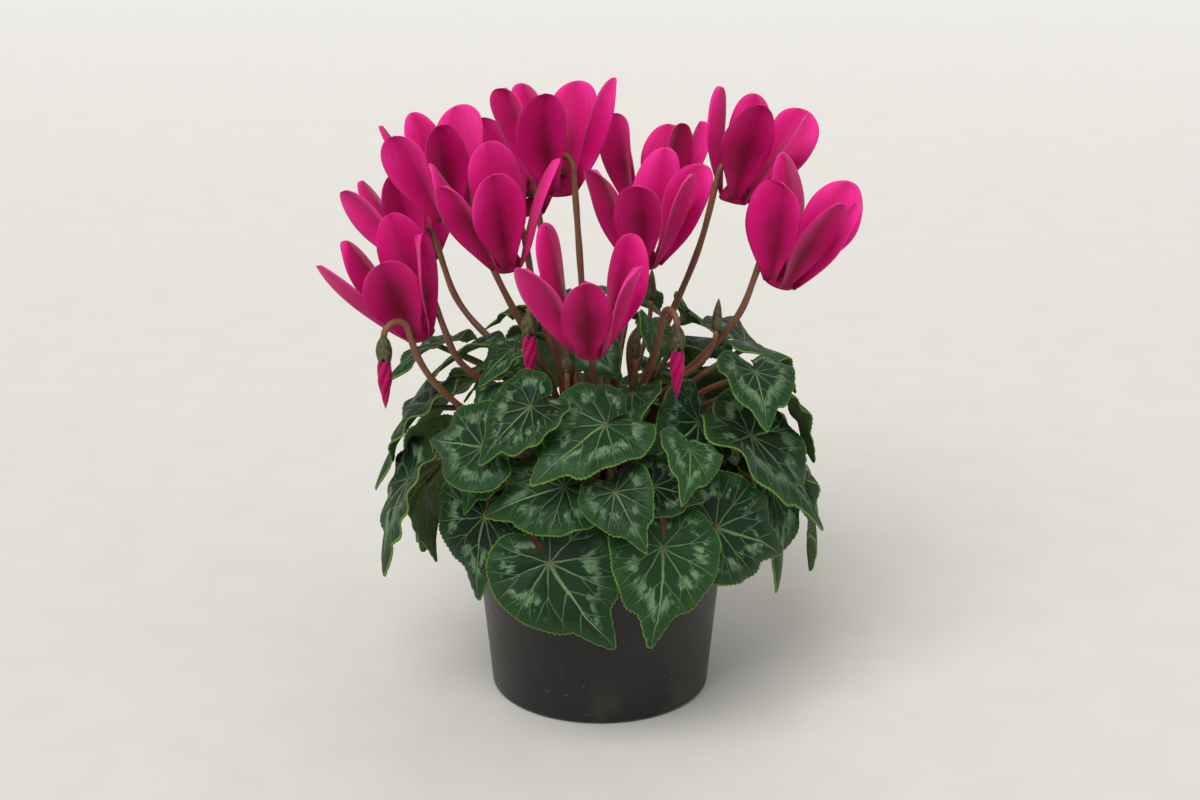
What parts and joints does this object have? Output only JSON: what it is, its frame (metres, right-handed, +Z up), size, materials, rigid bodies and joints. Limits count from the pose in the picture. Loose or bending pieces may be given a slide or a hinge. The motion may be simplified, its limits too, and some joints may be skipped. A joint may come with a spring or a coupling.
{
  "type": "potted cyclamen",
  "caption": "Mini cyclamen in flower, with marbled heart-shaped leaves and nodding magenta blooms on bare stalks, in a terracotta-coloured nursery pot inside a black outer pot.",
  "frame": {"origin": "the middle of the underside of the outer pot", "axes": "+Z up from the pot's foot to the blooms, -Y towards the front as seen in the picture, +X to the viewer's right"},
  "size_m": [0.1713, 0.1548, 0.2053],
  "materials": {
    "black_plastic": "thin thermoformed black plastic with a satin sheen, fine scuffs and specks of soil",
    "terracotta_plastic": "moulded terracotta-coloured plastic, dull",
    "peat": "dark crumbly peat soil with paler fibres",
    "tuber_skin": "rough corky brown skin",
    "leaf_green": "deep green, marbled in silver-green, with pale veins and a fine yellow-green toothed edge",
    "petal_magenta": "velvety magenta petals, darker at the mouth",
    "stalk_brown": "fleshy red-brown stalks"
  },
  "bodies": {
    "root": {"outer_pot": "black_plastic", "inner_pot": "terracotta_plastic", "soil": "peat", "tuber": "tuber_skin", "leaf_01": "leaf_green", "leaf_02": "leaf_green", "leaf_03": "leaf_green", "leaf_04": "leaf_green", "leaf_05": "leaf_green", "leaf_06": "leaf_green", "leaf_07": "leaf_green", "leaf_08": "leaf_green", "leaf_09": "leaf_green", "leaf_10": "leaf_green", "leaf_11": "leaf_green", "leaf_12": "leaf_green", "leaf_13": "leaf_green", "leaf_14": "leaf_green", "leaf_15": "leaf_green", "leaf_16": "leaf_green", "leaf_17": "leaf_green", "leaf_18": "leaf_green", "leaf_19": "leaf_green", "leaf_20": "leaf_green", "leaf_21": "leaf_green", "leaf_22": "leaf_green", "leaf_23": "leaf_green", "leaf_24": "leaf_green", "leaf_25": "leaf_green", "leaf_26": "leaf_green", "leaf_27": "leaf_green", "leaf_28": "leaf_green", "bloom_01": "petal_magenta", "bloom_02": "petal_magenta", "bloom_03": "petal_magenta", "bloom_04": "petal_magenta", "bloom_05": "petal_magenta", "bloom_06": "petal_magenta", "bloom_07": "petal_magenta", "bloom_08": "petal_magenta", "bloom_09": "petal_magenta", "bloom_10": "petal_magenta", "bloom_11": "petal_magenta", "bud_1": "petal_magenta", "bud_2": "petal_magenta", "bud_3": "petal_magenta", "bloom_stalk_01": "stalk_brown", "bloom_stalk_02": "stalk_brown", "bloom_stalk_03": "stalk_brown", "bloom_stalk_04": "stalk_brown", "bloom_stalk_05": "stalk_brown", "bloom_stalk_06": "stalk_brown", "bloom_stalk_07": "stalk_brown", "bloom_stalk_08": "stalk_brown", "bloom_stalk_09": "stalk_brown", "bloom_stalk_10": "stalk_brown", "bloom_stalk_11": "stalk_brown", "bud_stalk_1": "stalk_brown", "bud_stalk_2": "stalk_brown", "bud_stalk_3": "stalk_brown"}
  },
  "joints": []
}
